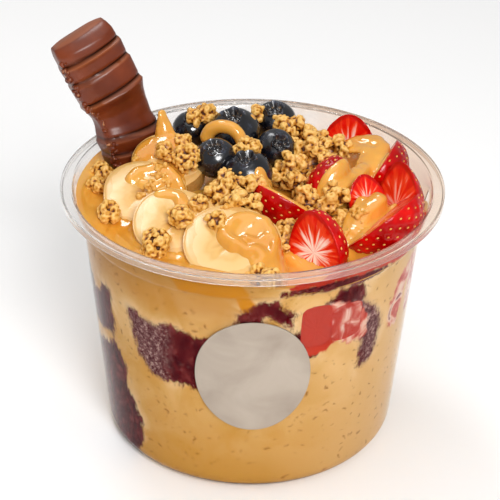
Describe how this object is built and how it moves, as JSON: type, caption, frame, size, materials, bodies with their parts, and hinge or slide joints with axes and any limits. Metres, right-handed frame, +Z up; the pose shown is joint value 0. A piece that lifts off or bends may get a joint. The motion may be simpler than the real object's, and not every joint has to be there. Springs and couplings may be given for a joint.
{
  "type": "acai cup",
  "caption": "Clear tapered cup filled with nut cream and purple acai, topped with banana, berries, granola, nut butter and a ridged chocolate bar.",
  "frame": {"origin": "centre of the cup's flat base, on the surface that it stands on", "axes": "+Z up out of the cup's mouth, the sticker faces -Y, and the chocolate bar leans out over the rim at -X"},
  "size_m": [0.1208, 0.117, 0.1263],
  "materials": {
    "clear_cup": "thin clear moulded plastic, glossy",
    "paper": "plain matte sticker paper",
    "nut_cream": "soft blended cream with fine dark specks, seen wet through the wall",
    "acai": "deep purple frozen puree, wet",
    "nut_butter": "golden runny nut butter, glossy",
    "chocolate": "milk chocolate, soft satin sheen",
    "banana": "moist cut banana, faint seed marks",
    "strawberry": "ripe strawberry, shiny skin with seeds, pale wet cut faces",
    "blueberry": "dark blueberry skin with a thin waxy bloom",
    "granola": "toasted oat clusters, rough and dry"
  },
  "bodies": {
    "root": {"cup": "clear_cup", "label": "paper", "nut_butter": "nut_butter", "acai": "acai", "cream": "nut_cream", "chocolate_bar": "chocolate", "banana_1": "banana", "banana_2": "banana", "banana_3": "banana", "banana_4": "banana", "strawberry_1": "strawberry", "strawberry_2": "strawberry", "strawberry_3": "strawberry", "strawberry_4": "strawberry", "strawberry_5": "strawberry", "strawberry_6": "strawberry", "strawberry_7": "strawberry", "strawberry_8": "strawberry", "strawberry_9": "strawberry", "strawberry_10": "strawberry", "blueberry_1": "blueberry", "blueberry_2": "blueberry", "blueberry_3": "blueberry", "blueberry_4": "blueberry", "blueberry_5": "blueberry", "blueberry_6": "blueberry", "granola_heap_1": "granola", "granola_heap_2": "granola", "granola_heap_3": "granola", "granola_1": "granola", "granola_2": "granola", "granola_3": "granola", "granola_4": "granola", "granola_5": "granola", "granola_6": "granola", "granola_7": "granola", "granola_8": "granola", "granola_9": "granola", "granola_10": "granola", "granola_11": "granola", "granola_12": "granola", "granola_13": "granola", "granola_14": "granola", "granola_15": "granola", "granola_16": "granola", "granola_17": "granola", "granola_18": "granola", "granola_19": "granola"}
  },
  "joints": []
}
